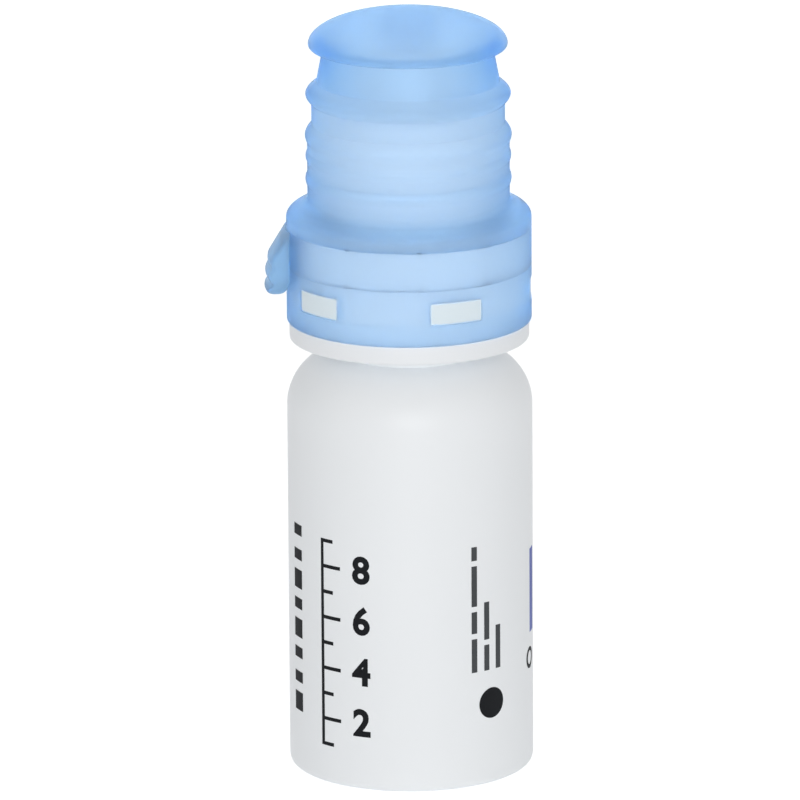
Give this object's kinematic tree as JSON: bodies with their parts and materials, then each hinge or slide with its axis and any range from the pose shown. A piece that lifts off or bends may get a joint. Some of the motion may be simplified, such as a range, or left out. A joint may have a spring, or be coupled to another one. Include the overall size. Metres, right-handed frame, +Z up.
{
  "type": "eye drop bottle",
  "caption": "Upright white squeeze dropper bottle with a ribbed translucent blue pull-off cap, tear strip with pull tab, and windowed ring over a spring-valve nozzle.",
  "frame": {"origin": "centre of the bottle's base on the surface it stands on", "axes": "+Z up along the bottle's axis; the picture looks along +Y, and the pull tab points to -X"},
  "size_m": [0.026, 0.024, 0.076],
  "materials": {
    "white_bottle": "satin blow-moulded polyethylene",
    "white_part": "satin moulded polypropylene",
    "white_stem": "smooth acetal",
    "spring_steel": "drawn stainless wire",
    "filter_felt": "sintered porous plastic",
    "soft_seal": "soft moulded elastomer",
    "blue_ring": "satin translucent polypropylene",
    "blue_strip": "satin translucent polypropylene",
    "blue_cap": "satin translucent polypropylene"
  },
  "bodies": {
    "dispenser": {"bottle": "white_bottle", "dispenser_housing": "white_part", "nozzle_tip": "white_part", "valve_core": "white_part", "valve_spring": "spring_steel", "air_filter": "filter_felt", "filter_retainer": "white_part", "neck_seal": "soft_seal", "retaining_ring": "blue_ring"},
    "cap": {"cap": "blue_cap"},
    "strip": {"tear_strip": "blue_strip"},
    "tab": {"pull_tab": "blue_strip"},
    "stem": {"outlet_valve": "white_stem"}
  },
  "joints": [
    {"name": "cap_lift", "type": "slide", "parent": "dispenser", "child": "cap", "axis": [0, 0, 1], "range_m": [0, 0.036]},
    {"name": "strip_lift", "type": "slide", "parent": "dispenser", "child": "strip", "axis": [0, 0, 1], "range_m": [0, 0.024]},
    {"name": "tab_flex", "type": "hinge", "parent": "strip", "child": "tab", "pos_m": [-0.01206, -0.00105, 0.05432], "axis": [-0.0872, 0.9962, 0], "range_deg": [0, 75]},
    {"name": "stem_slide", "type": "slide", "parent": "dispenser", "child": "stem", "axis": [0, 0, -1], "range_m": [0, 0.0005], "stiffness_N_per_m": 200, "springref_m": -0.001, "deforming": ["valve_spring"]}
  ],
  "couplings": [
    {"joint": "strip_lift", "follows": "cap_lift", "ratio": 0.65}
  ]
}
